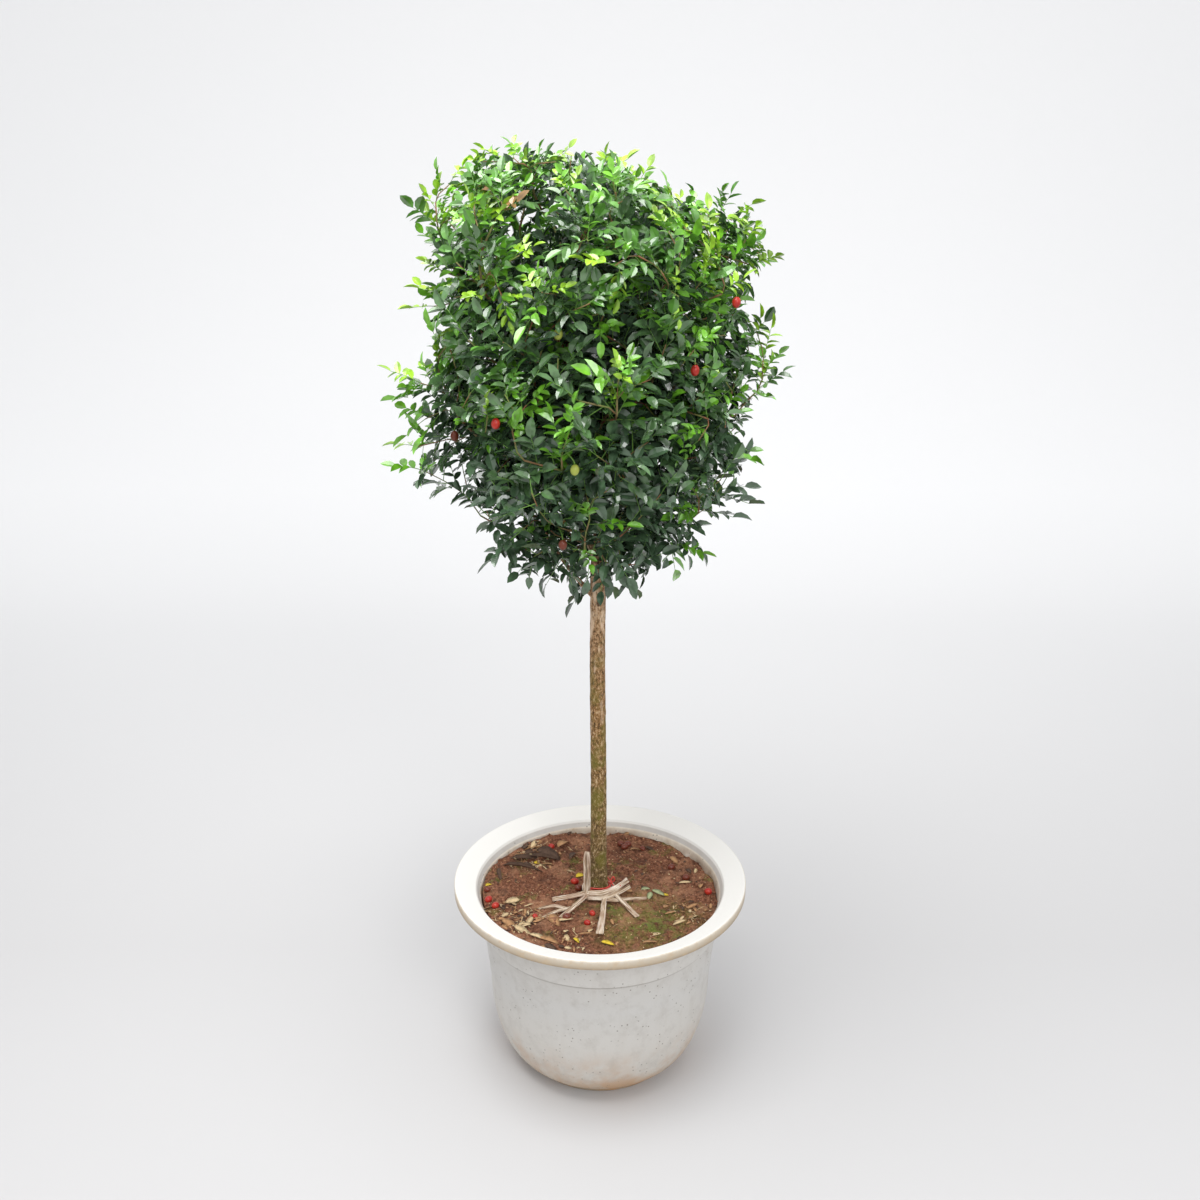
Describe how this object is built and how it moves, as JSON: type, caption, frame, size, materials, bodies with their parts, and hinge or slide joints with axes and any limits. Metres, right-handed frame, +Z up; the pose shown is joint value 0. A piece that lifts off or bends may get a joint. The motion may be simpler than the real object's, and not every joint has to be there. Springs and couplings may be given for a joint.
{
  "type": "potted standard orange jasmine",
  "caption": "Evergreen shrub trained as a standard: one clear stem with a dense leafy head, growing in soil in a wide round pot with a flared lip.",
  "frame": {"origin": "centre of the flat underside of the pot, on the surface the pot stands on", "axes": "+Z up along the stem; the pictured side faces -Y, so +X is to that viewer's right"},
  "size_m": [0.6824, 0.6368, 1.6455],
  "materials": {
    "pot": "weathered off-white plastic",
    "soil": "reddish brown crumbly soil",
    "bark": "brown bark with a green tint",
    "foliage": "glossy green leaves",
    "ties": "weathered fibre strip"
  },
  "bodies": {
    "root": {"pot": "pot", "soil": "soil", "root_ball_ties": "ties", "trunk": "bark", "leader": "bark", "bough_low_left": "bark", "bough_low_front": "bark", "bough_low_right": "bark", "bough_low_back": "bark", "bough_middle_left": "bark", "bough_middle_front": "bark", "bough_middle_right": "bark", "bough_middle_back_right": "bark", "bough_middle_back_left": "bark", "bough_upper_right": "bark", "bough_upper_back_right": "bark", "bough_upper_back_left": "bark", "foliage_low_left": "foliage", "foliage_low_front": "foliage", "foliage_low_right": "foliage", "foliage_low_back": "foliage", "foliage_middle_left": "foliage", "foliage_middle_front": "foliage", "foliage_middle_right": "foliage", "foliage_middle_back_right": "foliage", "foliage_middle_back_left": "foliage", "foliage_upper_right": "foliage", "foliage_upper_back_right": "foliage", "foliage_upper_back_left": "foliage", "foliage_upper_left": "foliage"}
  },
  "joints": []
}
